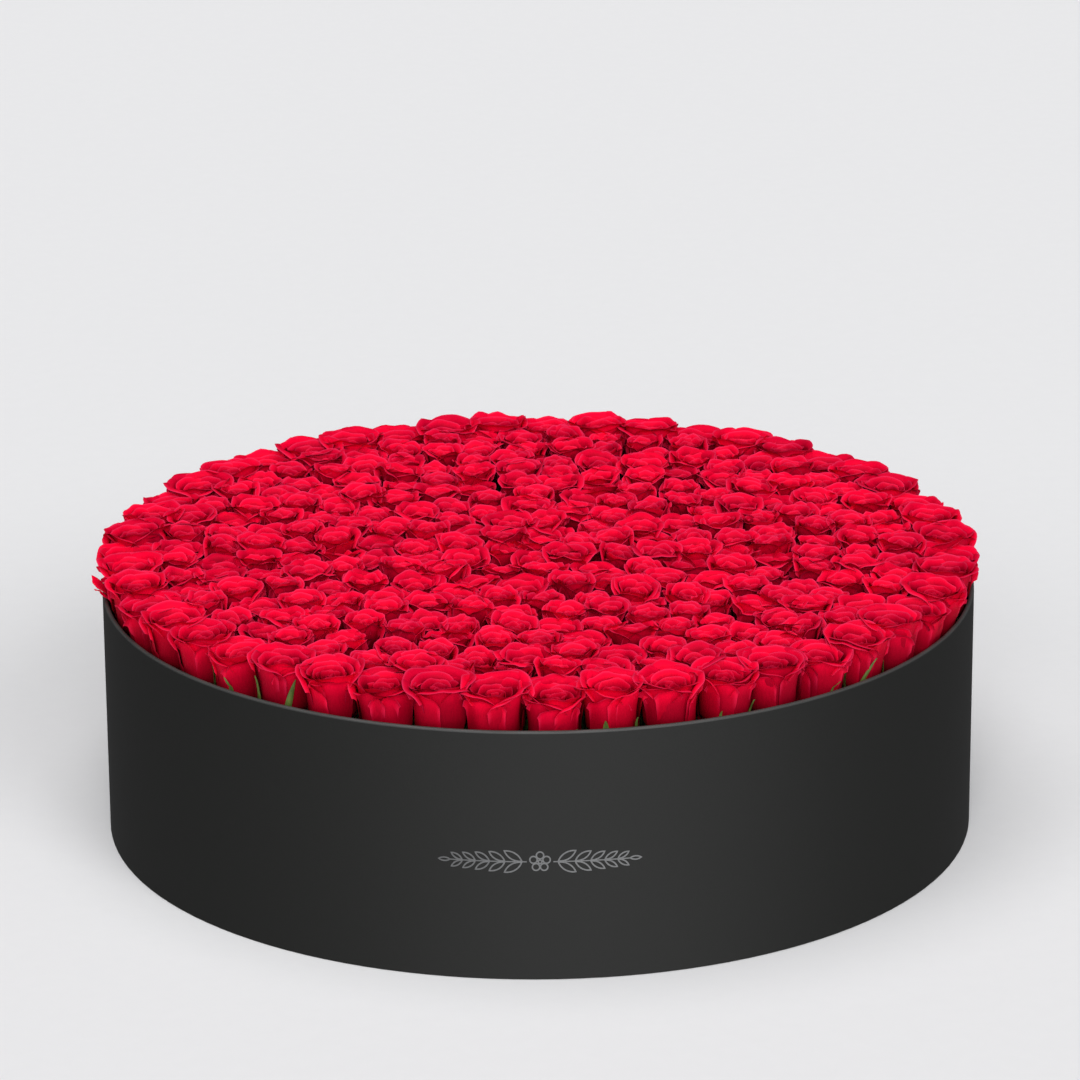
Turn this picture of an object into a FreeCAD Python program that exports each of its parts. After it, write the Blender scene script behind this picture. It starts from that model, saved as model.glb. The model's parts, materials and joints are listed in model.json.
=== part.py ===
"""Round flower box: a paper-wrapped board box that holds three hundred cut roses.

The roses stand in bricks of floral foam, and the foam stands in a waterproof tray that lifts
out of the box. Millimetres, +Z up, origin at the middle of the underside. The front, with the
foil ornament, faces -Y, and the joints of the board and of the wrap are at the back, +Y.
"""
import FreeCAD, Part
import Sketcher
import math
import os

DIMENSIONS = {
    # box
    "box_radius": 350.0,
    "box_height": 200.0,
    "board": 3.0,
    "paper": 0.4,
    "rim_turn_in": 22.0,
    "base_turn_in": 24.0,
    "underside_margin": 9.0,
    "lining_drop": 7.0,
    "wrap_overlap_angle": 2.6,
    "board_joint_angle": 0.09,
    "tape_angle": 6.5,
    "tape": 0.25,
    # waterproof tray
    "tray_wall": 1.0,
    "tray_height": 96.0,
    "tray_floor_radius": 338.0,
    "tray_rim_radius": 342.5,
    "tray_lip": 2.0,
    "tray_lip_height": 3.0,
    # floral foam
    "brick_length": 230.0,
    "brick_width": 110.0,
    "brick_height": 80.0,
    "brick_gap": 0.6,
    "foam_radius": 336.5,
    # roses
    "inner_rings": 9,
    "ring_pitch": 32.2,
    "roses_per_ring_step": 5.6,
    "rim_ring_radius": 325.5,
    "rim_ring_roses": 47,
    "bloom_height": 48.0,
    "bloom_base_radius": 6.0,
    "bloom_radius": 15.4,
    "bloom_mouth_radius": 13.0,
    "bloom_widest": 25.0,
    "rim_bloom_radius": 19.0,
    "rim_bloom_mouth_radius": 16.6,
    "bloom_top": 235.0,
    "height_wave": 3.0,
    "place_wave": 0.4,
    "stem_radius": 2.8,
    "stem_depth_in_foam": 38.0,
    "hip_height": 8.0,
    "sepal_rise": 9.5,
    "sepal_flare": 0.64,
    "sepal": 0.7,
    "sepal_gap": 1.2,
    "sepals": 5,
    # foil ornament
    "foil": 0.12,
    "foil_height": 96.0,
    "foil_stroke": 1.1,
    "leaf_length": 17.0,
    "leaf_width": 6.4,
    "leaf_pitch": 13.5,
    "leaf_pairs": 5,
    "leaf_start": 13.0,
    "leaf_shrink": 0.90,
    "leaf_angle": 32.0,
    "floret_radius": 4.6,
}
GOLDEN_ANGLE = 180.0 * (3.0 - math.sqrt(5.0))
BRICK_COLUMNS = 3
BRICK_ROWS = 6
FLORET_PETALS = 5

doc = FreeCAD.newDocument("flower_box")
sheet = doc.addObject("Spreadsheet::Sheet", "dims")


def fill_sheet():
    for row, (name, value) in enumerate(DIMENSIONS.items(), start=1):
        sheet.set(f"A{row}", name)
        sheet.set(f"B{row}", str(value))
        sheet.setAlias(f"B{row}", name)
    doc.recompute()


def size(expression):
    """The value of an expression of the sheet's cells, such as 'box_radius - paper'."""
    return float(sheet.evalExpression(expression))


def bound(expression):
    """The same expression as another object has to write it, with each cell named on its sheet."""
    for name in sorted(DIMENSIONS, key=len, reverse=True):
        expression = expression.replace(name, f"<{list(DIMENSIONS).index(name)}>")
    for index, name in enumerate(DIMENSIONS):
        expression = expression.replace(f"<{index}>", f"dims.{name}")
    return expression


# ---------------------------------------------------------------- sketches and bodies


def new_body(name):
    made = doc.addObject("PartDesign::Body", name)
    made.Label = name
    return made


def new_sketch(body, name, role):
    drawn = body.newObject("Sketcher::SketchObject", name)
    plane = next(f for f in body.Origin.OriginFeatures if f.Role == role)
    drawn.AttachmentSupport = [(plane, "")]
    drawn.MapMode = "FlatFace"
    return drawn


def hold_point(drawn, line, across, up):
    """Holds the start of a line at two expressions, each zero or more."""
    for expression, kind, axis in ((across, "DistanceX", -2), (up, "DistanceY", -1)):
        if expression == "0":
            drawn.addConstraint(Sketcher.Constraint("PointOnObject", line, 1, axis))
            continue
        held = Sketcher.Constraint(kind, -1, 1, line, 1, size(expression))
        index = drawn.addConstraint(held)
        drawn.setExpression(f"Constraints[{index}]", bound(expression))


def draw_outline(drawn, corners):
    """Draws a closed outline of straight lines. A corner is (across, up), as expressions."""
    points = [FreeCAD.Vector(size(across), size(up), 0) for across, up in corners]
    ends = points[1:] + points[:1]
    lines = [drawn.addGeometry(Part.LineSegment(a, b)) for a, b in zip(points, ends)]
    for index, line in enumerate(lines):
        drawn.addConstraint(Sketcher.Constraint("Coincident", lines[index - 1], 2, line, 1))
    for line, (across, up) in zip(lines, corners):
        hold_point(drawn, line, across, up)


def turned(body, name, corners, role="XZ_Plane", angle=None, midplane=False, kind="Revolution"):
    """A feature turned about Z from an outline of radii and heights."""
    drawn = new_sketch(body, name + "_outline", role)
    draw_outline(drawn, corners)
    feature = body.newObject("PartDesign::" + kind, name)
    feature.Profile = drawn
    feature.ReferenceAxis = (drawn, ["V_Axis"])
    feature.Midplane = midplane
    feature.Angle = 360.0
    if angle:
        feature.setExpression("Angle", bound(angle))
    doc.recompute()
    return feature


def tube(inner, outer, low, high):
    """The outline of a plain ring."""
    return [(inner, low), (outer, low), (outer, high), (inner, high)]


# ---------------------------------------------------------------- the box

WALL_OUTSIDE = "box_radius - paper"
WALL_INSIDE = "box_radius - paper - board"
TURN_INSIDE = "box_radius - 2 * paper - board"
LINING_INSIDE = "box_radius - 3 * paper - board"
BOARD_FOOT = "2 * paper"
BASE_TOP = "2 * paper + board"
FLOOR = "3 * paper + board"
RIM_CENTRE = "box_height - paper - board / 2"
RIM_MIDDLE = "box_radius - paper - board / 2"
RIM_FACETS = 6


def over_rim(radius):
    """The corners of a half round over the middle of the wall, from outside to inside."""
    corners = []
    for facet in range(RIM_FACETS + 1):
        angle = 180 * facet / RIM_FACETS
        across = f"{RIM_MIDDLE} + ({radius}) * cos({angle})"
        corners.append((across, f"{RIM_CENTRE} + ({radius}) * sin({angle})"))
    return corners


def make_wall_board():
    """The board is bent into a tube. Its two ends meet in a butt joint at the back."""
    body = new_body("wall_board")
    outline = [
        (WALL_INSIDE, BOARD_FOOT),
        (WALL_OUTSIDE, BOARD_FOOT),
        *over_rim("board / 2"),
    ]
    turned(body, "bent_wall", outline, role="YZ_Plane", angle="360 - board_joint_angle")
    return body


def make_disc(name, radius, low, high):
    body = new_body(name)
    turned(body, name + "_disc", tube("0", radius, low, high))
    return body


def make_board_joint_tape():
    """Gummed tape over the butt joint, on the inside of the wall."""
    body = new_body("board_joint_tape")
    outline = tube(f"{WALL_INSIDE} - tape", WALL_INSIDE, BASE_TOP, "box_height - rim_turn_in - 2")
    turned(body, "tape_strip", outline, role="YZ_Plane", angle="tape_angle", midplane=True)
    return body


def make_outer_wrap():
    """Black paper: up the outside, over the rim and down inside, and turned in under the base."""
    body = new_body("outer_wrap")
    outline = [
        ("box_radius - base_turn_in", "paper"),
        ("box_radius", "paper"),
        *over_rim("board / 2 + paper"),
        (TURN_INSIDE, "box_height - rim_turn_in"),
        (WALL_INSIDE, "box_height - rim_turn_in"),
        *reversed(over_rim("board / 2")),
        (WALL_OUTSIDE, BOARD_FOOT),
        ("box_radius - base_turn_in", BOARD_FOOT),
    ]
    turned(body, "wrapped_paper", outline)
    overlap = tube("box_radius - paper / 2", "box_radius + paper / 2", "3 * paper", RIM_CENTRE)
    angle = "wrap_overlap_angle"
    turned(body, "overlap_at_back", overlap, role="YZ_Plane", angle=angle, midplane=True)
    return body


def make_inner_lining():
    """Paper down the inside wall. It covers the edge of the turn-in, and is relieved for the tape."""
    body = new_body("inner_lining")
    outline = [
        (LINING_INSIDE, BASE_TOP),
        (WALL_INSIDE, BASE_TOP),
        (WALL_INSIDE, "box_height - rim_turn_in"),
        (TURN_INSIDE, "box_height - rim_turn_in"),
        (TURN_INSIDE, "box_height - lining_drop"),
        (LINING_INSIDE, "box_height - lining_drop"),
    ]
    turned(body, "lining_paper", outline)
    relief = tube(f"{WALL_INSIDE} - tape", "box_radius", "0", "box_height - rim_turn_in - 2")
    angle = "tape_angle"
    turned(body, "tape_relief", relief, "YZ_Plane", angle, midplane=True, kind="Groove")
    return body


def make_tray():
    """Waterproof tray with drafted sides and a turned lip, standing on the lined floor."""
    body = new_body("waterproof_tray")
    top = f"{FLOOR} + tray_height"
    outline = [
        ("0", FLOOR),
        ("tray_floor_radius", FLOOR),
        ("tray_rim_radius", f"{top} - tray_lip_height"),
        ("tray_rim_radius + tray_lip", f"{top} - tray_lip_height"),
        ("tray_rim_radius + tray_lip", top),
        ("tray_rim_radius - tray_wall", top),
        ("tray_floor_radius - tray_wall", f"{FLOOR} + tray_wall"),
        ("0", f"{FLOOR} + tray_wall"),
    ]
    turned(body, "tray_shell", outline)
    return body


# ---------------------------------------------------------------- the roses


def make_stem():
    """A stem cut short, on the slant, standing on the origin. Its top meets the hip."""
    body = new_body("stem_pattern")
    turned(body, "stem_rod", tube("0", "stem_radius", "0", STEM_LENGTH))
    slant = new_sketch(body, "slant_outline", "XZ_Plane")
    draw_outline(slant, [("0", "0"), ("stem_radius", "0"), ("stem_radius", "2 * stem_radius")])
    cut = body.newObject("PartDesign::Pocket", "slant_cut")
    cut.Profile = slant
    cut.Type = "ThroughAll"
    cut.Midplane = True
    doc.recompute()
    return body


def make_calyx():
    """The hip under a bloom and its sepals: a thin cup slit into pointed lobes."""
    body = new_body("calyx_pattern")
    foot = "bloom_base_radius + sepal_gap"
    edge = "bloom_base_radius + sepal_gap + sepal_flare * sepal_rise"
    outline = [
        ("0", "0"),
        ("stem_radius", "0"),
        (f"{foot} + sepal", "hip_height - sepal"),
        (f"{edge} + sepal", "hip_height + sepal_rise"),
        (edge, "hip_height + sepal_rise"),
        (foot, "hip_height"),
        ("0", "hip_height"),
    ]
    turned(body, "hip_and_cup", outline)
    slit = new_sketch(body, "slit_outline", "XY_Plane")
    corners = [
        (foot, "0"),
        (f"{edge} + 2 * sepal", "0"),
        (f"{edge} + 2 * sepal", "0.62 * sepal_rise"),
    ]
    draw_outline(slit, corners)
    pocket = body.newObject("PartDesign::Pocket", "slit")
    pocket.Profile = slit
    pocket.Type = "ThroughAll"
    pocket.Reversed = True
    doc.recompute()
    pattern = body.newObject("PartDesign::PolarPattern", "slits")
    pattern.Originals = [pocket]
    pattern.Axis = (slit, ["N_Axis"])
    pattern.Angle = 360.0
    pattern.setExpression("Occurrences", bound("sepals"))
    body.Tip = pattern
    doc.recompute()
    return body


def make_bloom(name, radius, mouth):
    """The outer shape of one rose head, standing on its base."""
    body = new_body(name)
    outline = [
        ("0", "0"),
        ("bloom_base_radius", "0"),
        ("bloom_base_radius + sepal_flare * sepal_rise", "sepal_rise"),
        (radius, "bloom_widest"),
        (mouth, "bloom_height"),
        ("0", "bloom_height"),
    ]
    turned(body, name + "_solid", outline)
    return body


STEM_LENGTH = (
    "bloom_top - height_wave - bloom_height - hip_height"
    " - (3 * paper + board + tray_wall + brick_height - stem_depth_in_foam)"
)


def rose_rings():
    """The foot of every bloom, ring by ring: [(x, y, z), ...] for each ring, from the middle out."""
    inner = int(size("inner_rings"))
    rings = [(0.0, 1)]
    for ring in range(1, inner + 1):
        rings.append((ring * size("ring_pitch"), round(ring * size("roses_per_ring_step"))))
    rings.append((size("rim_ring_radius"), int(size("rim_ring_roses"))))
    places = []
    for ring, (radius, count) in enumerate(rings):
        places.append([rose_place(ring, radius, count, index) for index in range(count)])
    return places


def rose_place(ring, radius, count, index):
    """One rose's place. Small waves that never repeat stand for the unevenness of hand work."""
    wave = size("place_wave")
    reach = radius + (wave * math.sin(3.7 * index + 1.9 * ring) if ring else 0.0)
    angle = math.radians(GOLDEN_ANGLE) * ring + 2 * math.pi * index / count
    angle += wave * math.sin(5.3 * index + 2.3 * ring) / max(radius, 1.0)
    rise = size("height_wave") * math.sin(2.1 * index + 1.3 * ring)
    foot = size("bloom_top - bloom_height - height_wave") + rise
    return reach * math.cos(angle), reach * math.sin(angle), foot


def spun(x, y):
    """The turn that faces a rose's own +X outwards."""
    return FreeCAD.Rotation(FreeCAD.Vector(0, 0, 1), math.degrees(math.atan2(y, x)))


def make_group(name, pattern, feet):
    """One node that holds a copy of the pattern's solid at each foot."""
    copies = []
    for x, y, z in feet:
        copy = pattern.Shape.copy()
        copy.Placement = FreeCAD.Placement(FreeCAD.Vector(x, y, z), spun(x, y))
        copies.append(copy)
    group = doc.addObject("Part::Feature", name)
    group.Label = name
    group.Shape = Part.makeCompound(copies)
    return group


def make_roses():
    """Stems, calyxes and blooms, each ring of each kind a node. Returns (nodes, stem nodes)."""
    stem, calyx = make_stem(), make_calyx()
    bloom = make_bloom("bloom_pattern", "bloom_radius", "bloom_mouth_radius")
    rim_bloom = make_bloom("rim_bloom_pattern", "rim_bloom_radius", "rim_bloom_mouth_radius")
    hip, length = size("hip_height"), size(STEM_LENGTH)
    rings = rose_rings()
    nodes, stems = [], []
    for ring, feet in enumerate(rings):
        head = rim_bloom if ring == len(rings) - 1 else bloom
        hips = [(x, y, z - hip) for x, y, z in feet]
        cuts = [(x, y, z - hip - length) for x, y, z in feet]
        stems.append(make_group(f"stems_ring_{ring:02d}", stem, cuts))
        nodes.append(make_group(f"calyxes_ring_{ring:02d}", calyx, hips))
        nodes.append(make_group(f"blooms_ring_{ring:02d}", head, feet))
    check_spacing(rings)
    return nodes + stems, stems


def check_spacing(rings):
    """Stops the build if two neighbouring blooms would touch."""
    widths = [size("bloom_radius")] * (len(rings) - 1) + [size("rim_bloom_radius")]
    roses = [(x, y, w) for feet, w in zip(rings, widths) for x, y, _ in feet]
    least = min(
        math.hypot(ax - bx, ay - by) - aw - bw
        for i, (ax, ay, aw) in enumerate(roses)
        for bx, by, bw in roses[i + 1 :]
    )
    print(len(roses), "roses, least gap between blooms", round(least, 2), "mm")
    if least <= 0.2:
        raise ValueError("blooms touch")


# ---------------------------------------------------------------- the floral foam


def make_foam(stems):
    """Bricks of floral foam, trimmed to the round tray and pierced by the stems."""
    core = doc.addObject("Part::Cylinder", "foam_circle")
    core.setExpression("Radius", bound("foam_radius"))
    core.setExpression("Height", bound("brick_height"))
    core.setExpression("Placement.Base.z", bound(f"{FLOOR} + tray_wall"))
    pins = doc.addObject("Part::Feature", "all_stems")
    pins.Shape = Part.makeCompound([s for group in stems for s in group.Shape.Solids])
    bricks = []
    for row in range(BRICK_ROWS):
        for column in range(BRICK_COLUMNS):
            bricks.append(make_brick(row, column, core, pins))
    doc.recompute()
    return bricks


def make_brick(row, column, core, pins):
    name = f"foam_brick_{row + 1}_{column + 1}"
    block = doc.addObject("Part::Box", name + "_block")
    block.setExpression("Length", bound("brick_length - brick_gap"))
    block.setExpression("Width", bound("brick_width - brick_gap"))
    block.setExpression("Height", bound("brick_height"))
    across, along = column - BRICK_COLUMNS / 2, row - BRICK_ROWS / 2
    block.setExpression("Placement.Base.x", bound(f"{across} * brick_length + brick_gap / 2"))
    block.setExpression("Placement.Base.y", bound(f"{along} * brick_width + brick_gap / 2"))
    block.setExpression("Placement.Base.z", bound(f"{FLOOR} + tray_wall"))
    trimmed = doc.addObject("Part::Common", name + "_trimmed")
    trimmed.Base, trimmed.Tool = block, core
    pierced = doc.addObject("Part::Cut", name)
    pierced.Base, pierced.Tool = trimmed, pins
    pierced.Label = name
    return pierced


# ---------------------------------------------------------------- the foil ornament


def lens(length, width):
    """A leaf-shaped wire from the origin along +X, in the plane of X and Z."""
    tip = FreeCAD.Vector(length, 0, 0)
    sides = [FreeCAD.Vector(0.45 * length, 0, side * width / 2) for side in (1, -1)]
    root = FreeCAD.Vector(0, 0, 0)
    over = Part.Arc(root, sides[0], tip).toShape()
    under = Part.Arc(tip, sides[1], root).toShape()
    return Part.Wire([over, under])


def leaf_face(length, width, stroke):
    """The outline of a leaf as a narrow band of foil."""
    inner = lens(length - 3.2 * stroke, width - 2 * stroke)
    inner.translate(FreeCAD.Vector(1.6 * stroke, 0, 0))
    return Part.Face(lens(length, width)).cut(Part.Face(inner))


def ring_face(radius, stroke):
    """The outline of a round petal as a narrow band of foil."""
    back = FreeCAD.Vector(0, -1, 0)
    rings = [Part.Wire(Part.makeCircle(r, FreeCAD.Vector(), back)) for r in (radius, radius - stroke)]
    return Part.Face(rings[0]).cut(Part.Face(rings[1]))


def placed(face, x, z, degrees=0.0):
    """The face turned in its own plane, then moved to that place on the front."""
    turn = FreeCAD.Rotation(FreeCAD.Vector(0, -1, 0), degrees)
    face.Placement = FreeCAD.Placement(FreeCAD.Vector(x, 0, z), turn)
    return face


def sprig_faces(side):
    """One half of the sprig: a thin stalk with pairs of leaves that grow smaller, and one at its end."""
    stroke, pitch, start = size("foil_stroke"), size("leaf_pitch"), size("leaf_start")
    length, width = size("leaf_length"), size("leaf_width")
    pairs, shrink, lean = int(size("leaf_pairs")), size("leaf_shrink"), size("leaf_angle")
    faces = []
    for pair in range(pairs):
        grown = shrink**pair
        x = side * (start + pair * pitch * (1 + shrink ** pair) / 2)
        for up in (1, -1):
            leaf = leaf_face(length * grown, width * grown, stroke)
            angle = up * lean if side > 0 else 180 - up * lean
            faces.append(placed(leaf, x, 0.0, angle))
    end = start + pairs * pitch * (1 + shrink**pairs) / 2
    tip = leaf_face(length * shrink**pairs, width * shrink**pairs, stroke)
    faces.append(placed(tip, side * end, 0.0, 0.0 if side > 0 else 180.0))
    low, high = sorted((side * (start - 3.0), side * (end + stroke)))
    stalk = Part.makePlane(high - low, stroke * 0.8)
    stalk.rotate(FreeCAD.Vector(), FreeCAD.Vector(1, 0, 0), 90)
    stalk.translate(FreeCAD.Vector(low, 0, -stroke * 0.4))
    faces.append(stalk)
    return faces


def floret_faces():
    """A small five-petalled flower for the middle of the ornament."""
    radius, stroke = size("floret_radius"), size("foil_stroke")
    faces = [placed(ring_face(radius * 0.42, stroke), 0, 0)]
    for petal in range(FLORET_PETALS):
        angle = math.radians(90 + 360 / FLORET_PETALS * petal)
        x, z = 1.12 * radius * math.cos(angle), 1.12 * radius * math.sin(angle)
        faces.append(placed(ring_face(radius * 0.72, stroke), x, z))
    return faces


def make_foil():
    """The foil-stamped sprig, a skin on the front of the wrap."""
    faces = floret_faces() + sprig_faces(1) + sprig_faces(-1)
    front = FreeCAD.Vector(0, -2 * size("box_radius"), 0)
    cutters = [face.extrude(front) for face in faces]
    stamp = cutters[0].multiFuse(cutters[1:]).removeSplitter()
    low = size("foil_height")
    stamp.translate(FreeCAD.Vector(0, 0, low))
    radius, height = size("box_radius"), size("box_height")
    skin = Part.makeCylinder(radius + size("foil"), height).cut(Part.makeCylinder(radius, height))
    ornament = doc.addObject("Part::Feature", "foil_ornament")
    ornament.Label = "foil_ornament"
    ornament.Shape = Part.makeCompound(skin.common(stamp).Solids)
    return ornament


# ---------------------------------------------------------------- build, check, export


def failures(nodes):
    """What is wrong with the document or with a node's shape."""
    wrong = []
    for made in doc.Objects:
        if "Invalid" in made.State or "Error" in made.State:
            wrong.append(f"{made.Name} is {made.State}")
    for node in nodes:
        shape = node.Shape
        if shape.isNull() or not shape.isValid() or not shape.Solids:
            wrong.append(f"{node.Label} has no valid solid")
        elif min(solid.Volume for solid in shape.Solids) <= 0:
            wrong.append(f"{node.Label} has a solid with no volume")
    return wrong


def main():
    fill_sheet()
    nodes = [
        make_wall_board(),
        make_disc("base_board", WALL_INSIDE, BOARD_FOOT, BASE_TOP),
        make_board_joint_tape(),
        make_outer_wrap(),
        make_inner_lining(),
        make_disc("base_lining", LINING_INSIDE, BASE_TOP, FLOOR),
        make_disc("underside_paper", "box_radius - underside_margin", "0", "paper"),
        make_foil(),
        make_tray(),
    ]
    roses, stems = make_roses()
    nodes += roses + make_foam(stems)
    doc.recompute()
    wrong = failures(nodes)
    if wrong:
        raise ValueError("; ".join(wrong))
    os.makedirs("parts", exist_ok=True)
    for node in nodes:
        node.Shape.exportStep(f"parts/{node.Label}.step")
        print(node.Label, len(node.Shape.Solids), "solids", round(node.Shape.Volume), "mm3")
    print(len(nodes), "nodes")


main()
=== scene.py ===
import json
import math
from collections import namedtuple

import bpy
import numpy as np
from mathutils import Matrix, Vector


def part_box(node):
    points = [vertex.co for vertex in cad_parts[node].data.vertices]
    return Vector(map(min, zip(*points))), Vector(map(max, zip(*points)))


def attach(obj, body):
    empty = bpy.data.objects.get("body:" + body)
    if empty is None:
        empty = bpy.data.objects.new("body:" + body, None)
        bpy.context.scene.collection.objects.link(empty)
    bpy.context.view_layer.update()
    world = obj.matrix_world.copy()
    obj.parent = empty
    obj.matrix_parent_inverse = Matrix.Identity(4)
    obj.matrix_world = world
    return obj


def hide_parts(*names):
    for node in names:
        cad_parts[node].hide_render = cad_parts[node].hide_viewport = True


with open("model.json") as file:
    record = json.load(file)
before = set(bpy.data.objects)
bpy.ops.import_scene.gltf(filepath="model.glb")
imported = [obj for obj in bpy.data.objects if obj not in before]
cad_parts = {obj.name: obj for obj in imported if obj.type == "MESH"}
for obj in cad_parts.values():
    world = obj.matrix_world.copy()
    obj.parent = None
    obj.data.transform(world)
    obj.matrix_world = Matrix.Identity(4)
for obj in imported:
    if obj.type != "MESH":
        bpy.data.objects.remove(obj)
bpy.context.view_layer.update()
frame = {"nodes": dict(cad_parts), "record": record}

RIM_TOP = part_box("outer_wrap")[1][2]
MM = 0.001
FULL_TURN = 2 * math.pi
ANY_PHASE = 6.3  # a wave starts anywhere between 0 and this
rng = np.random.default_rng(47)

# ---------------------------------------------------------------- where the roses stand, as in the CAD

GOLDEN_ANGLE = math.pi * (3.0 - math.sqrt(5.0))
INNER_RINGS, RING_PITCH, ROSES_PER_RING_STEP = 9, 32.2, 5.6
RIM_RING_RADIUS, RIM_RING_ROSES = 325.5, 47
BLOOM_FOOT, HEIGHT_WAVE, PLACE_WAVE = 184.0, 3.0, 0.4
# how fast each wave runs from rose to rose and from ring to ring
REACH_BEAT, ANGLE_BEAT, RISE_BEAT = (3.7, 1.9), (5.3, 2.3), (2.1, 1.3)


def beat(pace, index, ring):
    return math.sin(pace[0] * index + pace[1] * ring)


def rose_rings():
    """The foot of every bloom: one list of (x, y, z) for each ring, from the middle out."""
    rings = [(0.0, 1)]
    rings += [(k * RING_PITCH, round(k * ROSES_PER_RING_STEP)) for k in range(1, INNER_RINGS + 1)]
    rings.append((RIM_RING_RADIUS, RIM_RING_ROSES))
    places = []
    for ring, (radius, count) in enumerate(rings):
        feet = []
        for index in range(count):
            reach = radius + (PLACE_WAVE * beat(REACH_BEAT, index, ring) if ring else 0.0)
            angle = GOLDEN_ANGLE * ring + FULL_TURN * index / count
            angle += PLACE_WAVE * beat(ANGLE_BEAT, index, ring) / max(radius, 1.0)
            rise = HEIGHT_WAVE * beat(RISE_BEAT, index, ring)
            feet.append((reach * math.cos(angle), reach * math.sin(angle), BLOOM_FOOT + rise))
        places.append(feet)
    return places


RINGS = rose_rings()
RIM_RING = len(RINGS) - 1

# ---------------------------------------------------------------- petals

# A petal is drawn in this many steps from foot to lip, and its mesh keeps only some of those rows.
STEPS = 40
BODY_ROWS = np.array([0, 4, 8, 12, 17, 22, 26, 29, 31, 33, 34, 35, 36, 37, 38, 39, 40])
OUTER_ROWS = np.array([0, 6, 12, 20, 27, 31, 33, 35, 36, 37, 38, 39, 40])
INNER_ROWS = np.array([12, 24, 30, 33, 35, 37, 38, 39, 40])
COLUMNS, BODY_COLUMNS = 13, 15

# Shares of a petal's length from foot to lip: the bowl ends, the lean sets in, the lip starts to turn.
BOWL_END = 0.33
LEAN_FROM, LEAN_TO = 0.36, 0.66
LIP_START, LIP_START_PER_DEGREE, LIP_START_AT_SIDES = 0.905, 0.0003, 0.03
BOWL_START = 82.0  # degrees from upright at the foot
TOP_FALL, CORNER_FALL, POINT_WIDTH = 0.035, 0.20, 0.22  # outline of the upper edge
SLACK = 1.22  # length of the sheet over its height
FOOT_RADIUS, LEAST_RADIUS = 4.0, 0.35
WAIST = 0.62  # width at the foot over the full width

# One petal. centre: heading in radians. half: half its width in degrees round the head. radius, top:
# of the bowl and of the tip. lip, lean: degrees that the lip turns out and the body leans out. twist: how
# far one side stands out more than the other. sharp: point at the tip. rows, columns: of its mesh.
# the last three: how light its foot (less painted shade), how light its edge (partly painted sheen) and how
# light the whole petal is (painted shade at the heart).
Petal = namedtuple("Petal", "centre half radius top lip lean twist sharp rows columns paleness rimmed depth")

# One whorl of like petals: share of the head's radius, and the rest as in a petal.
Whorl = namedtuple("Whorl", "share top lip half lean count rows columns")
INNER_WHORLS = [
    Whorl(0.09, 40.0, 2.0, 168.0, -2.0, 2, INNER_ROWS, COLUMNS),
    Whorl(0.20, 40.4, 5.0, 125.0, -2.0, 2, INNER_ROWS, COLUMNS),
    Whorl(0.33, 41.2, 8.0, 105.0, 0.0, 3, INNER_ROWS, COLUMNS),
    Whorl(0.48, 42.6, 18.0, 88.0, 4.0, 3, INNER_ROWS, COLUMNS),
    Whorl(0.65, 44.8, 38.0, 76.0, 7.0, 4, OUTER_ROWS, COLUMNS),
]
MIDDLE_ROSE = INNER_WHORLS + [
    Whorl(0.79, 46.4, 62.0, 66.0, 9.0, 4, OUTER_ROWS, COLUMNS),
    Whorl(0.88, 46.0, 84.0, 56.0, 10.0, 4, OUTER_ROWS, COLUMNS),
]
RIM_ROSE = INNER_WHORLS + [
    Whorl(0.83, 46.8, 62.0, 66.0, 7.0, 4, BODY_ROWS, BODY_COLUMNS),
    Whorl(0.90, 46.0, 80.0, 56.0, 7.0, 4, BODY_ROWS, BODY_COLUMNS),
    Whorl(0.95, 41.0, 50.0, 48.0, 3.0, 2, BODY_ROWS, BODY_COLUMNS),
]
CUP_DEPTH = 7.0  # how far the heart of a wide open head is sunk
TIGHTEST, RIM_TIGHTEST = 0.15, 0.40  # the least openness of a head
OUTERMOST = 0.85  # a whorl's share from which its petals stand unevenly
RIM_BODY, RIM_BODY_LIT_FOOT = 0.8, 0.50  # the bodies that show over the rim get less painted shade at their foot
HEART_EDGE_SHADE, HEART_SHADE = 0.35, 0.86  # painted shade at the heart of a head: its edges and its petals are darker


def smooth(low, high, value):
    """0 up to low, 1 from high on, and a smooth rise between."""
    t = np.clip((value - low) / (high - low), 0.0, 1.0)
    return t * t * (3.0 - 2.0 * t)


def petal_section(shape, u, s):
    """How far outwards and upwards of its foot each point of a petal lies: u across, s from foot to lip."""
    length = 1.0 - TOP_FALL * u**2 - CORNER_FALL * np.abs(u) ** 7
    length = length + shape.sharp * np.exp(-((u / POINT_WIDTH) ** 2))
    lip_start = LIP_START - LIP_START_PER_DEGREE * shape.lip - LIP_START_AT_SIDES * np.abs(u)
    lip_start = lip_start + rng.uniform(-0.015, 0.02)
    bowl = math.radians(BOWL_START) * (1.0 - np.minimum(s / BOWL_END, 1.0))
    rolled = smooth(0.0, 1.0, (s - lip_start) / (1.0 - lip_start)) ** 0.85
    # the lip turns most between the middle and the corners
    uneven = 0.90 + 0.35 * np.abs(u) ** 1.5 - 0.55 * np.abs(u) ** 6
    uneven = uneven + 0.14 * np.sin(2.6 * u + rng.uniform(0, ANY_PHASE))
    angle = bowl + math.radians(shape.lean) * smooth(LEAN_FROM, LEAN_TO, s)
    angle = angle + (math.radians(shape.lip) * uneven - math.radians(shape.lean)) * rolled
    step = SLACK * shape.top * length / STEPS
    out = np.cumsum(np.sin(angle) * step, axis=0)
    up = np.cumsum(np.cos(angle) * step, axis=0)
    return out - out[0], up - up[0]


def ripple(u, s, waves, least, most, power):
    """A wave across the petal that grows towards the lip."""
    return rng.uniform(least, most) * np.sin(waves * u + rng.uniform(0, ANY_PHASE)) * s**power


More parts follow.
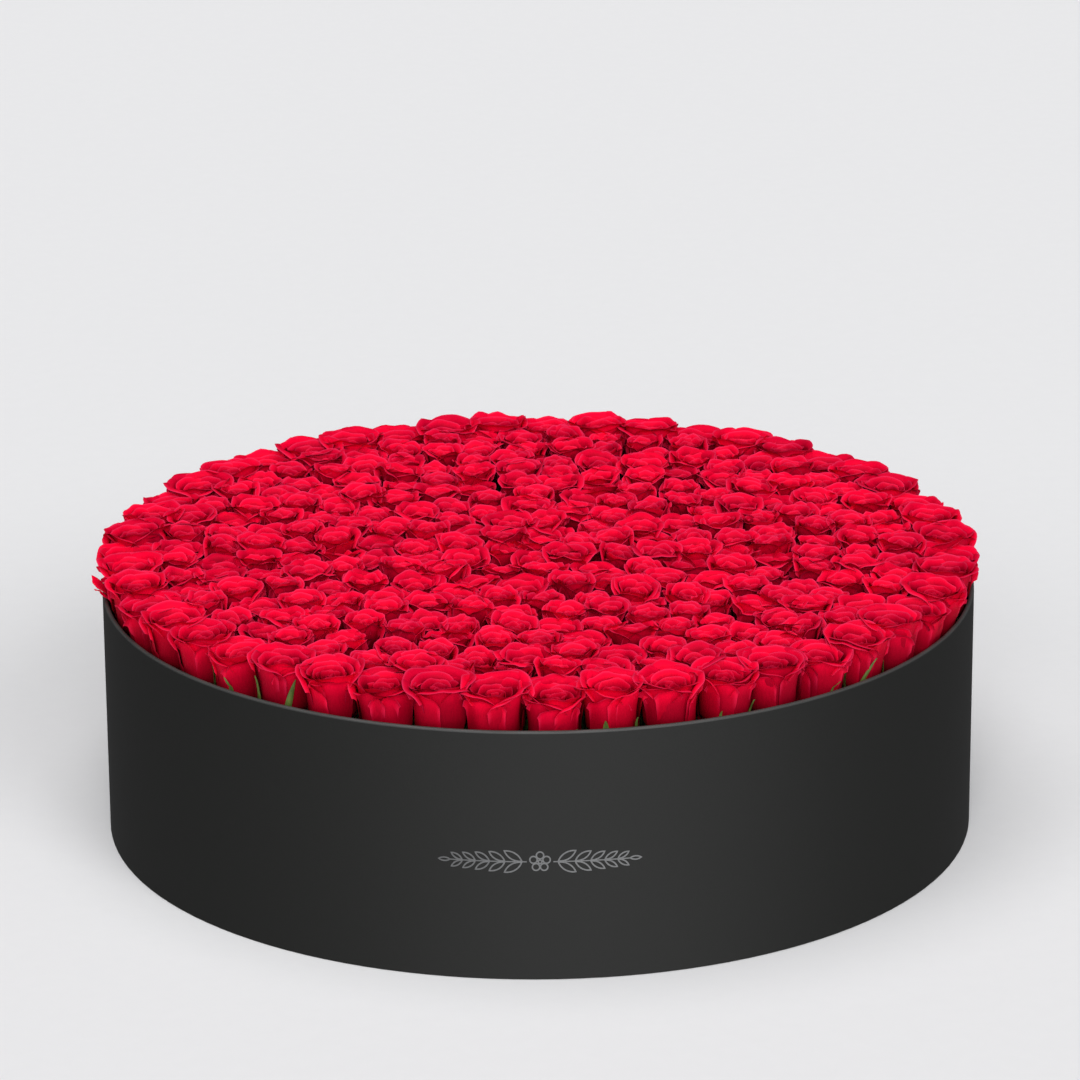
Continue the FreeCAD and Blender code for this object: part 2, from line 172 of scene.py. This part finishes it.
def petal(shape):
    """One petal as a sheet. Returns its points and, for each, (nearness to the lip, painted shading,
    random).
    """
    u = np.linspace(-1.0, 1.0, shape.columns)[None, :]
    s = np.linspace(0.0, 1.0, STEPS + 1)[:, None]
    out, up = petal_section(shape, u, s)
    bowl_out = np.maximum(out[int(BOWL_END * STEPS)], 1e-6)
    foot = min(FOOT_RADIUS, 0.6 * shape.radius)
    in_bowl = foot + (shape.radius - foot) * (out / bowl_out)
    r = np.where(s <= BOWL_END, in_bowl, shape.radius + out - bowl_out)
    z = up * shape.top / up[:, shape.columns // 2].max()
    r = r + shape.twist * u * np.minimum(s / 0.3, 1.0)
    # loose corners, a soft crease down the body, then waves and small ruffles of the lip
    r = r + rng.uniform(0.2, 1.3) * np.abs(u) ** 5 * s**3
    crease = np.sin(rng.uniform(3.0, 6.0) * u + rng.uniform(-1.4, 1.4) * s + rng.uniform(0, ANY_PHASE))
    r = r + rng.uniform(0.2, 1.0) * crease * smooth(0.15, 0.55, s) * min(1.0, shape.radius / 16.0)
    r = r + ripple(u, s, 4.6, 0.3, 0.8, 6)
    r = r + ripple(u, s, 9.0, 0.15, 0.75, 12)
    z = z + ripple(u, s, 3.6, 0.3, 0.9, 5)
    z = z + ripple(u, s, 8.5, 0.15, 0.70, 12)
    r = np.maximum(r, LEAST_RADIUS)
    phi = shape.centre + math.radians(shape.half) * u * (WAIST + (1.0 - WAIST) * np.minimum(s / 0.42, 1.0))
    points = np.stack([r * np.cos(phi), r * np.sin(phi), z], axis=-1)[shape.rows]
    # the paler edge along the lip and the sides: partly the petal's own paler lip, partly painted sheen
    sides = 0.35 * smooth(0.93, 1.0, np.abs(u)) * smooth(0.5, 0.8, s)
    edge = np.maximum(smooth(0.968, 1.0, s), sides) * shape.rimmed
    # painted shade: the petal is darker towards its foot, deep in the cup, and at the heart of the head
    painted_shading = (shape.paleness + (1.0 - shape.paleness) * s) * shape.depth
    tint = np.stack(np.broadcast_arrays(edge, painted_shading, rng.uniform()), axis=-1)[shape.rows]
    return points.reshape(-1, 3), tint.reshape(-1, 3)


def grid_faces(rows, columns, start):
    """Quads of a grid of points, as indices that count from start."""
    a = np.arange(rows * columns).reshape(rows, columns) + start
    quads = np.stack([a[:-1, :-1], a[:-1, 1:], a[1:, 1:], a[1:, :-1]], axis=-1)
    return quads.reshape(-1, 4)


def whorl_petal(whorl, centre, radius, openness, wind, rim):
    """One petal of a whorl in a head of this radius."""
    ring = radius * whorl.share * (1.0 + 0.03 * rng.standard_normal())
    sunk = CUP_DEPTH * (openness - TIGHTEST) * max(0.0, 1.0 - whorl.share)
    top = whorl.top - sunk + rng.uniform(-0.9, 0.9)
    if whorl.share > OUTERMOST:
        top += rng.uniform(-3.0, 1.0)
    lip = whorl.lip * (0.55 + 0.75 * openness) + rng.uniform(-8, 12) * min(1.0, 1.4 * whorl.share)
    lean = whorl.lean * (0.45 + 0.9 * openness)
    twist = wind * (0.5 + 1.0 * whorl.share)
    sharp = rng.uniform(0.0, 0.02 + 0.03 * whorl.share)
    # bodies that show over the rim get less painted shade at their foot
    paleness = RIM_BODY_LIT_FOOT if rim and whorl.share > RIM_BODY else 0.0
    # painted shade at the heart of a head: its edges and its petals are darker
    rimmed = HEART_EDGE_SHADE + (1.0 - HEART_EDGE_SHADE) * min(whorl.share / 0.8, 1.0)
    depth = HEART_SHADE + (1.0 - HEART_SHADE) * min(whorl.share / 0.7, 1.0)
    return Petal(centre, whorl.half, ring, top, lip, lean, twist, sharp, whorl.rows, whorl.columns,
                 paleness, rimmed, depth)


def rose_head(radius, openness, rim):
    """A whole head standing on the origin: points, quads and tints. openness 1 is a wide cup."""
    points, faces, tints, start = [], [], [], 0
    heading = rng.uniform(0, FULL_TURN)
    wind = rng.choice([-1.0, 1.0])
    shift = rng.uniform(0.0, 1.6) * np.array([math.cos(heading), math.sin(heading), 0.0])
    for whorl in RIM_ROSE if rim else MIDDLE_ROSE:
        heading += rng.uniform(0.5, 1.4)
        for k in range(whorl.count):
            centre = heading + FULL_TURN * k / whorl.count + rng.uniform(-0.16, 0.16)
            sheet, tint = petal(whorl_petal(whorl, centre, radius, openness, wind, rim))
            points.append(sheet + shift * (1.0 - whorl.share))
            tints.append(tint)
            faces.append(grid_faces(len(whorl.rows), whorl.columns, start))
            start += len(sheet)
    return np.concatenate(points), np.concatenate(faces), np.concatenate(tints)


# ---------------------------------------------------------------- heads in the box

WALL_REACH, OVER_RIM, GIVE = 345.4, 14.0, 3.0  # reach of petals in the box, more over its rim, softness
FREE_FROM, FREE_AT = 0.5, 12.0  # heights over the rim between which they come free of the wall
RIM_RADII, INNER_RADII = (19.8, 21.4), (10.4, 15.0)
RIM_LEAN, INNER_LEAN = (1.0, 6.0), 5.5  # degrees: range at the rim, spread further in
RIM_WAY = 0.6  # heads at the rim lean outwards, give or take this in radians
FAR_SIDE, FAR_EXTRA = 200.0, 1.4  # heads further back than this are larger, so no floor shows between them
PETAL_TINT_PART, HEAD_TINT_PART = 0.55, 0.45

# heading from +X in degrees of the rim rose with two loose petals, and their sideways offset and top
LOOSE_HEADING, LOOSE_WITHIN = -172.0, 3.9
LOOSE_PETALS = [(-0.34, 32.0), (0.20, 27.0)]


def stand(points, foot, lean_out, lean_way, spin):
    """Points of a head leant about its foot and set in the box. lean_out is towards the rim."""
    x, y, z = foot
    outward = math.atan2(y, x)
    axis = Vector((-math.sin(outward + lean_way), math.cos(outward + lean_way), 0.0))
    turn = np.array(Matrix.Rotation(lean_out, 3, axis) @ Matrix.Rotation(spin, 3, "Z"))
    return points @ turn.T + np.array([x, y, z])


def held_in(points):
    """The same points, pressed in by the lining of the wall; over the rim they may spread outwards."""
    reach = np.maximum(np.hypot(points[:, 0], points[:, 1]), 1.0)
    limit = WALL_REACH + OVER_RIM * smooth(RIM_TOP / MM + FREE_FROM, RIM_TOP / MM + FREE_AT, points[:, 2])
    pressed = limit - GIVE * np.exp(-np.maximum(reach - limit + GIVE, 0.0) / GIVE)
    scale = np.where(reach > limit - GIVE, pressed / reach, 1.0)
    return points * np.stack([scale, scale, np.ones_like(scale)], axis=-1)


def make_mesh(name, points, faces, tints=None):
    """A smooth object of these points in millimetres, with a petal's tint on each point where given."""
    mesh = bpy.data.meshes.new(name)
    mesh.from_pydata((points * MM).tolist(), [], faces.tolist() if hasattr(faces, "tolist") else faces)
    mesh.validate()
    if tints is not None:
        layer = mesh.color_attributes.new("petal_tint", "FLOAT_COLOR", "POINT")
        colours = np.ones((len(points), 4), np.float32)
        colours[:, :3] = tints
        layer.data.foreach_set("color", colours.ravel())
    mesh.polygons.foreach_set("use_smooth", np.ones(len(mesh.polygons), bool))
    made = bpy.data.objects.new(name, mesh)
    bpy.context.scene.collection.objects.link(made)
    return made


def with_loose_petals(head, quads, tint, heading):
    """The same head with two large petals that hang out at this heading."""
    for offset, top in LOOSE_PETALS:
        # the loose petals hang over the rim and get less painted shade at their foot
        shape = Petal(heading + offset, half=12.0, radius=17.0, top=top, lip=84.0, lean=48.0, twist=0.0,
                      sharp=0.06, rows=BODY_ROWS, columns=BODY_COLUMNS, paleness=0.56, rimmed=1.0, depth=1.0)
        sheet, sheet_tint = petal(shape)
        quads = np.concatenate([quads, grid_faces(len(BODY_ROWS), BODY_COLUMNS, len(head))])
        head, tint = np.concatenate([head, sheet]), np.concatenate([tint, sheet_tint])
    return head, quads, tint


def rose_piece(name, feet, rim):
    """One mesh of the heads that stand at these feet."""
    points, faces, tints, start = [], [], [], 0
    for foot in feet:
        outward = math.atan2(foot[1], foot[0])
        radius = rng.uniform(*(RIM_RADII if rim else INNER_RADII))
        if rim and foot[1] > FAR_SIDE:
            radius += FAR_EXTRA
        openness = rng.uniform(RIM_TIGHTEST if rim else TIGHTEST, 1.0)
        head, quads, tint = rose_head(radius, openness, rim)
        tint[:, 2] = PETAL_TINT_PART * tint[:, 2] + HEAD_TINT_PART * rng.uniform()
        lean = math.radians(rng.uniform(*RIM_LEAN) if rim else abs(rng.normal(0.0, INNER_LEAN)))
        way = rng.uniform(-RIM_WAY, RIM_WAY) if rim else rng.uniform(-math.pi, math.pi)
        spin = rng.uniform(0, FULL_TURN)
        if rim and abs(math.degrees(outward) - LOOSE_HEADING) < LOOSE_WITHIN:
            head, quads, tint = with_loose_petals(head, quads, tint, outward - spin)
        points.append(held_in(stand(head, foot, lean, way, spin)))
        faces.append(quads + start)
        tints.append(tint)
        start += len(head)
    return make_mesh(name, np.concatenate(points), np.concatenate(faces), np.concatenate(tints))


# ---------------------------------------------------------------- hips and sepals

HIP_RADII, HIP_HEIGHTS, HIP_SIDES = [2.6, 4.6, 5.2, 4.6, 3.4], [-8.0, -6.4, -3.6, -0.9, 0.6], 10
SEPALS, SEPAL_ROWS, SEPAL_TOP_RADIUS = 5, 11, 4.2
SEPAL_RIDGE, SEPAL_INSIDE = 0.7, 0.985  # how far its middle stands out, and its inner face over its outer
RIM_CLASP, INNER_CLASP, CLASP_HEIGHT = 20.6, 13.0, 12.0  # radius of the bloom that standing sepals hug
HANG_FROM, HANG_TURN = 112.0, 60.0  # degrees from upright at the top of a hanging sepal, and its bend

# sepals of a rim rose that stand up against the petals: heading from +X in degrees, length, lean to the side
STANDING_SEPALS = [
    (-136, 30.0, -7.0), (-128, 33.0, 5.0), (-88, 19.5, 6.0), (-79, 21.0, -4.0), (-66, 20.0, 5.0),
    (-46, 28.0, 13.0), (-39, 31.0, 15.0), (20, 26.0, 3.0), (75, 22.0, -5.0), (118, 27.0, 6.0),
    (160, 24.0, -3.0),
]


def tube_of(radii, heights, sides):
    """A closed tube of rings: points and faces."""
    turn = np.linspace(0, FULL_TURN, sides, endpoint=False)
    points = [(r * math.cos(a), r * math.sin(a), z) for r, z in zip(radii, heights) for a in turn]
    faces = []
    for low in range(0, (len(radii) - 1) * sides, sides):
        high = low + sides
        for j in range(sides):
            k = (j + 1) % sides
            faces.append((low + j, low + k, high + k, high + j))
    faces.append(tuple(range(sides))[::-1])
    faces.append(tuple((len(radii) - 1) * sides + j for j in range(sides)))
    return np.array(points), faces


def sepal(centre, length, width, upright, clasp, aside):
    """A thin pointed sepal from the top of the hip: points, faces. It hugs the bloom, or hangs."""
    s = np.linspace(0, 1, SEPAL_ROWS)
    if upright:
        z = length * s * 0.96
        swell = np.sin(np.clip(z / CLASP_HEIGHT, 0.0, 1.0) * math.pi / 2) ** 0.8
        r = SEPAL_TOP_RADIUS + (clasp - 3.4) * swell + 3.0 * s**4
    else:
        bend = np.radians(HANG_FROM + HANG_TURN * s)
        r = 4.5 + np.cumsum(np.sin(bend)) * length / SEPAL_ROWS
        z = np.cumsum(np.cos(bend)) * length / SEPAL_ROWS
    breadth = width * np.sin(math.pi * np.clip(0.26 + 0.74 * s, 0, 1)) ** 0.8 + 0.1
    across = np.maximum(r, 4.0)
    points, faces = [], []
    for side in (-1, 0, 1):
        phi = centre + aside * s**1.5 / across + side * breadth / 2 / across
        out = r if side else r + SEPAL_RIDGE
        points.append(np.stack([out * np.cos(phi), out * np.sin(phi), z], axis=-1))
    outer = np.concatenate(points)
    inner = outer * np.array([SEPAL_INSIDE, SEPAL_INSIDE, 1.0])
    behind = len(outer)
    for side in range(2):
        for i in range(SEPAL_ROWS - 1):
            a, b = side * SEPAL_ROWS + i, (side + 1) * SEPAL_ROWS + i
            faces.append((a, b, b + 1, a + 1))
            faces.append((a + behind, a + 1 + behind, b + 1 + behind, b + behind))
    return np.concatenate([outer, inner]), faces


def standing_sepals(feet):
    """For each rim rose, the length and the side lean of its standing sepals, or (0, 0)."""
    headings = np.array([math.degrees(math.atan2(y, x)) for x, y, z in feet])
    shown = [(0.0, 0.0)] * len(feet)
    for heading, length, aside in STANDING_SEPALS:
        away = np.abs((headings - heading + 180.0) % 360.0 - 180.0)
        shown[away.argmin()] = (length, aside)
    return shown


def calyx_piece(name, feet, rim):
    """One mesh of the hips and sepals at these feet. At the rim some sepals stand and the rest hang."""
    points, faces, start = [], [], 0
    standing = standing_sepals(feet) if rim else [(0.0, 0.0)] * len(feet)
    for (x, y, z), (shown, aside) in zip(feet, standing):
        outward = math.atan2(y, x)
        spin = outward + rng.uniform(0.3, 0.9) if shown else rng.uniform(0, FULL_TURN)
        parts = [tube_of(HIP_RADII, HIP_HEIGHTS, HIP_SIDES)]
        for k in range(SEPALS):
            centre = spin + FULL_TURN * k / SEPALS
            facing = abs((centre - outward + math.pi) % FULL_TURN - math.pi)
            upright = not rim or (shown and facing < 1.6)
            length = shown + rng.uniform(-1.5, 1.5) if upright and rim else rng.uniform(14, 19)
            width = rng.uniform(3.4, 5.8)
            aside_by = aside + rng.uniform(-4.0, 4.0)
            parts.append(sepal(centre, length, width, upright, RIM_CLASP if rim else INNER_CLASP, aside_by))
        for p, f in parts:
            points.append(held_in(p + np.array([x, y, z])))
            faces += [tuple(v + start for v in face) for face in f]
            start += len(p)
    return make_mesh(name, np.concatenate(points), faces)


# ---------------------------------------------------------------- materials


def new_material(name):
    """A new material, with its nodes, its links and its surface shader."""
    made = bpy.data.materials.new(name)
    made.use_nodes = True
    nodes, links = made.node_tree.nodes, made.node_tree.links
    return made, nodes, links, nodes["Principled BSDF"]


def noise(nodes, links, scale, detail, roughness, stretch=None):
    """A noise texture in object coordinates, which are metres in the shared frame."""
    texture = nodes.new("ShaderNodeTexNoise")
    texture.inputs["Scale"].default_value = scale
    texture.inputs["Detail"].default_value = detail
    texture.inputs["Roughness"].default_value = roughness
    place = nodes.new("ShaderNodeTexCoord").outputs["Object"]
    if stretch:
        mapping = nodes.new("ShaderNodeMapping")
        mapping.inputs["Scale"].default_value = stretch
        links.new(place, mapping.inputs["Vector"])
        place = mapping.outputs["Vector"]
    links.new(place, texture.inputs["Vector"])
    return texture.outputs["Fac"]


def ramp(nodes, links, source, stops):
    """The colour at source on a ramp of (position, colour) stops."""
    made = nodes.new("ShaderNodeValToRGB")
    while len(made.color_ramp.elements) < len(stops):
        made.color_ramp.elements.new(0.5)
    for element, (position, colour) in zip(made.color_ramp.elements, stops):
        element.position = position
        element.color = (*colour, 1.0)
    links.new(source, made.inputs["Fac"])
    return made.outputs["Color"]


def mix(nodes, links, factor, first, second, blend="MIX"):
    """Two colours mixed. Each of the three is a socket or a plain value."""
    made = nodes.new("ShaderNodeMix")
    made.data_type, made.blend_type = "RGBA", blend
    for name, value in (("Factor", factor), ("A", first), ("B", second)):
        if isinstance(value, bpy.types.NodeSocket):
            links.new(value, made.inputs[name])
        else:
            made.inputs[name].default_value = value
    return made.outputs["Result"]


def bump(nodes, links, source, bsdf, strength, distance):
    """Fine relief on the surface: distance is its height in metres."""
    made = nodes.new("ShaderNodeBump")
    made.inputs["Strength"].default_value = strength
    made.inputs["Distance"].default_value = distance
    links.new(source, made.inputs["Height"])
    links.new(made.outputs["Normal"], bsdf.inputs["Normal"])


def grained(name, dark, light, scale, roughness, height, metallic=0.0, stretch=None, gloss=0.5):
    """A material of fine mottled grain: two colours mixed by noise, and the same noise as relief."""
    made, nodes, links, bsdf = new_material(name)
    grain = noise(nodes, links, scale, 4.0, 0.65, stretch)
    links.new(ramp(nodes, links, grain, [(0.30, dark), (0.70, light)]), bsdf.inputs["Base Color"])
    bsdf.inputs["Roughness"].default_value = roughness
    bsdf.inputs["Metallic"].default_value = metallic
    bsdf.inputs["Specular IOR Level"].default_value = gloss
    bump(nodes, links, grain, bsdf, 0.5, height)
    return made


HIGHLIGHT_AND_RUB_DEPTH, HIGHLIGHT_AND_RUB_FADE, HIGHLIGHT_AND_RUB_MOST = 0.0006, 0.0024, 0.55  # metres under the rim: full painted highlight and rubbing, none
HIGHLIGHTED_AND_RUBBED_PAPER = (0.075, 0.078, 0.076, 1.0)


def black_paper():
    """Matt black covering paper with a fine tooth, a little lighter along the fold over the rim: a painted
    highlight where the rim catches the light, with some rubbing.
    """
    made = grained("black_paper", (0.0070, 0.0073, 0.0066), (0.0122, 0.0126, 0.0117), 1400.0, 0.50, 0.00006)
    nodes, links = made.node_tree.nodes, made.node_tree.links
    place = nodes.new("ShaderNodeSeparateXYZ")
    links.new(nodes.new("ShaderNodeTexCoord").outputs["Object"], place.inputs["Vector"])
    # painted highlight along the fold over the rim, with some rubbing
    fold_highlight_and_rub = nodes.new("ShaderNodeMapRange")
    fold_highlight_and_rub.interpolation_type = "SMOOTHSTEP"
    fold_highlight_and_rub.inputs["From Min"].default_value = RIM_TOP - HIGHLIGHT_AND_RUB_FADE
    fold_highlight_and_rub.inputs["From Max"].default_value = RIM_TOP - HIGHLIGHT_AND_RUB_DEPTH
    fold_highlight_and_rub.inputs["To Max"].default_value = HIGHLIGHT_AND_RUB_MOST
    links.new(place.outputs["Z"], fold_highlight_and_rub.inputs["Value"])
    base_color = nodes["Principled BSDF"].inputs["Base Color"]
    plain_paper = base_color.links[0].from_socket
    links.new(mix(nodes, links, fold_highlight_and_rub.outputs["Result"], plain_paper, HIGHLIGHTED_AND_RUBBED_PAPER), base_color)
    return made


# colours of a petal from the deep cup to the lip (painted shade, darkest deep in the cup), of one petal
# beside the next, of its veins and of its edge (partly painted sheen)
PAINTED_SHADE_STOPS = [
    (0.30, (0.075, 0.0001, 0.0030)),
    (0.66, (0.175, 0.0002, 0.0066)),
    (0.84, (0.430, 0.0003, 0.0156)),
    (0.95, (0.770, 0.0006, 0.0285)),
]
PETAL_RANGE = [(0.0, (0.68, 0.70, 0.84)), (1.0, (1.18, 1.15, 1.08))]
VEIN_RANGE = [(0.30, (0.90, 0.90, 0.90)), (0.72, (1.06, 1.06, 1.06))]
EDGE_AND_SHEEN_COLOUR, EDGE_AND_SHEEN_STRENGTH = (0.70, 0.034, 0.120, 1.0), 0.62


def petal_material():
    """Velvety red: painted shade deep in the cup, vivid on the petal, paler and pinker along the lip, partly
    with painted sheen.
    """
    made, nodes, links, bsdf = new_material("rose_petal")
    tint = nodes.new("ShaderNodeAttribute")
    tint.attribute_name = "petal_tint"
    parts = nodes.new("ShaderNodeSeparateColor")
    links.new(tint.outputs["Color"], parts.inputs["Color"])
    veins = noise(nodes, links, 760.0, 3.0, 0.55, (1.0, 1.0, 0.22))
    # painted shade: the ramp runs from dark deep in the cup to vivid at the lip
    body = ramp(nodes, links, parts.outputs["Green"], PAINTED_SHADE_STOPS)
    body = mix(nodes, links, 1.0, body, ramp(nodes, links, veins, VEIN_RANGE), "MULTIPLY")
    body = mix(nodes, links, 1.0, body, ramp(nodes, links, parts.outputs["Blue"], PETAL_RANGE), "MULTIPLY")
    # the paler, pinker edge: partly the lip's own colour, partly painted sheen
    edge = nodes.new("ShaderNodeMath")
    edge.operation = "MULTIPLY"
    edge.inputs[1].default_value = EDGE_AND_SHEEN_STRENGTH
    links.new(parts.outputs["Red"], edge.inputs[0])
    links.new(mix(nodes, links, edge.outputs["Value"], body, EDGE_AND_SHEEN_COLOUR), bsdf.inputs["Base Color"])
    bsdf.inputs["Roughness"].default_value = 0.55
    bsdf.inputs["Specular IOR Level"].default_value = 0.025
    bump(nodes, links, veins, bsdf, 0.35, 0.0004)
    return made


ALONG_STEM, ALONG_SEPAL = (1.0, 1.0, 0.12), (1.0, 1.0, 0.3)
# name: darkest and lightest colour, scale of the grain, roughness, height of the relief in metres
GRAINED = {
    "grey_board": ((0.33, 0.30, 0.26), (0.46, 0.43, 0.38), 900.0, 0.9, 0.0002),
    "gummed_tape": ((0.42, 0.29, 0.16), (0.52, 0.38, 0.23), 700.0, 0.7, 0.0001),
    "tray_plastic": ((0.014, 0.015, 0.015), (0.024, 0.026, 0.026), 300.0, 0.38, 0.00005),
    "floral_foam": ((0.016, 0.070, 0.026), (0.050, 0.170, 0.075), 1100.0, 0.95, 0.0006),
}
LINING = (0.012, 0.012, 0.012), (0.020, 0.020, 0.020), 1400.0, 0.75, 0.00006
FOIL = (0.34, 0.345, 0.35), (0.50, 0.505, 0.51), 600.0, 0.36, 0.00002
STEM = (0.060, 0.170, 0.030), (0.130, 0.290, 0.060), 260.0, 0.5, 0.0002
SEPAL_GREEN = (0.036, 0.068, 0.010), (0.130, 0.180, 0.032), 320.0, 0.5, 0.0002
MATERIALS = {name: grained(name, *values) for name, values in GRAINED.items()}
MATERIALS |= {
    "black_paper": black_paper(),
    "black_lining": grained("black_lining", *LINING, gloss=0.25),
    "silver_foil": grained("silver_foil", *FOIL, metallic=1.0),
    "rose_stem": grained("rose_stem", *STEM, stretch=ALONG_STEM),
    "rose_green": grained("rose_green", *SEPAL_GREEN, stretch=ALONG_SEPAL),
    "rose_petal": petal_material(),
}
SLOT_OF = {entry["node"]: entry["material_slot"] for entry in frame["record"]["subparts"]}
for node_name, node in frame["nodes"].items():
    node.data.materials.clear()
    node.data.materials.append(MATERIALS[SLOT_OF[node_name]])

# ---------------------------------------------------------------- pieces in place of the CAD's soft solids

MOST_HEADS = 22  # in one mesh, so that none grows too large
MIDDLE_RINGS, MIDDLE_MESHES = 4, 2  # the rings round the centre share their meshes


def add(piece, material, node_names):
    """Puts a piece on the arrangement, in place of these nodes."""
    piece.data.materials.append(MATERIALS[material])
    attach(piece, "arrangement")
    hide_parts(*node_names)


def blooms(ring):
    return f"blooms_ring_{ring:02d}"


def calyxes(ring):
    return f"calyxes_ring_{ring:02d}"


middle_feet = [foot for ring in RINGS[:MIDDLE_RINGS] for foot in ring]
for part in range(MIDDLE_MESHES):
    roses = rose_piece(f"roses_middle_{part}", middle_feet[part::MIDDLE_MESHES], rim=False)
    add(roses, "rose_petal", [blooms(k) for k in range(MIDDLE_RINGS)])
for ring_number in range(MIDDLE_RINGS, len(RINGS)):
    parts = math.ceil(len(RINGS[ring_number]) / MOST_HEADS)
    for part in range(parts):
        heads = RINGS[ring_number][part::parts]
        roses = rose_piece(f"roses_ring_{ring_number:02d}_{part}", heads, rim=ring_number == RIM_RING)
        add(roses, "rose_petal", [blooms(ring_number)])
inner_feet = [foot for ring in RINGS[:RIM_RING] for foot in ring]
inner_sepals = calyx_piece("sepals_inner", inner_feet, rim=False)
add(inner_sepals, "rose_green", [calyxes(k) for k in range(RIM_RING)])
add(calyx_piece("sepals_rim", RINGS[RIM_RING], rim=True), "rose_green", [calyxes(RIM_RING)])

# ---------------------------------------------------------------- studio

FLOOR_HALF, FLOOR_GAP = 9.0, 0.0001  # the floor lies just under the box, so that their faces don't meet
FLOOR_DARK, FLOOR_LIGHT = (0.750, 0.750, 0.760), (0.760, 0.760, 0.770)
CARD_TOWARDS, CARD_FROM = (0.30, -0.92, 0.24), 0.30
ROOM_LEVEL, CARD_LEVEL, BACKDROP_LEVEL = 0.11, 0.60, 0.83
CAMERA_PLACE, CAMERA_TILT, CAMERA_ROLL = (0.0, -3.936, 1.566), 18.73, -0.37
LENS, SENSOR, SHIFT_X, VIEW_END = 172.4, 36.0, 2.0 / 1080.0, 60.0


def studio_floor():
    """A plain pale floor, which glossy surfaces don't mirror."""
    corners = [(x * FLOOR_HALF, y * FLOOR_HALF, -FLOOR_GAP) for x, y in ((-1, -1), (1, -1), (1, 1), (-1, 1))]
    floor = make_mesh("studio_floor", np.array(corners) / MM, [(0, 1, 2, 3)])
    surface = grained("studio_floor", FLOOR_DARK, FLOOR_LIGHT, 60.0, 0.9, 0.00001, gloss=0.0)
    floor.data.materials.append(surface)
    floor.visible_glossy = False


def studio_world():
    """A wide soft card in front, a little to the right, a dim room all round, and a plain pale backdrop."""
    world = bpy.data.worlds.new("studio")
    bpy.context.scene.world = world
    world.use_nodes = True
    nodes, links = world.node_tree.nodes, world.node_tree.links
    facing_card = nodes.new("ShaderNodeVectorMath")
    facing_card.operation = "DOT_PRODUCT"
    facing_card.inputs[1].default_value = Vector(CARD_TOWARDS).normalized()
    links.new(nodes.new("ShaderNodeTexCoord").outputs["Generated"], facing_card.inputs[0])
    card = nodes.new("ShaderNodeMapRange")
    card.interpolation_type = "SMOOTHSTEP"
    card.inputs["From Min"].default_value = CARD_FROM
    card.inputs["To Min"].default_value = ROOM_LEVEL
    card.inputs["To Max"].default_value = CARD_LEVEL
    links.new(facing_card.outputs["Value"], card.inputs["Value"])
    level = nodes.new("ShaderNodeMix")
    level.inputs["B"].default_value = BACKDROP_LEVEL
    links.new(nodes.new("ShaderNodeLightPath").outputs["Is Camera Ray"], level.inputs["Factor"])
    links.new(card.outputs["Result"], level.inputs["A"])
    backdrop = nodes["Background"]
    backdrop.inputs["Color"].default_value = (0.98, 0.98, 1.0, 1.0)
    links.new(level.outputs["Result"], backdrop.inputs["Strength"])


def softbox(name, source, strength, spread):
    """A far softbox in the direction of source, as wide as spread in degrees."""
    lamp = bpy.data.lights.new(name, "SUN")
    lamp.energy, lamp.angle = strength, math.radians(spread)
    made = bpy.data.objects.new(name, lamp)
    bpy.context.scene.collection.objects.link(made)
    made.rotation_euler = (-Vector(source)).to_track_quat("-Z", "Y").to_euler()


def studio_camera():
    """A long lens in front, looking a little down."""
    lens = bpy.data.cameras.new("camera")
    lens.lens, lens.sensor_width, lens.shift_x, lens.clip_end = LENS, SENSOR, SHIFT_X, VIEW_END
    camera = bpy.data.objects.new("camera", lens)
    bpy.context.scene.collection.objects.link(camera)
    camera.location = CAMERA_PLACE
    tilt = Matrix.Rotation(math.radians(90.0 - CAMERA_TILT), 3, "X")
    camera.rotation_euler = (tilt @ Matrix.Rotation(math.radians(CAMERA_ROLL), 3, "Z")).to_euler()
    bpy.context.scene.camera = camera


studio_floor()
studio_world()
softbox("top_softbox", (-0.12, -0.10, 1.0), 1.38, 50.0)
softbox("front_softbox", (-0.02, -1.0, 0.54), 1.50, 30.0)
softbox("right_softbox", (0.58, -0.95, 0.66), 0.98, 26.0)
softbox("left_softbox", (-0.85, -0.75, 0.55), 0.36, 30.0)
studio_camera()
bpy.context.scene.view_settings.view_transform = "Standard"
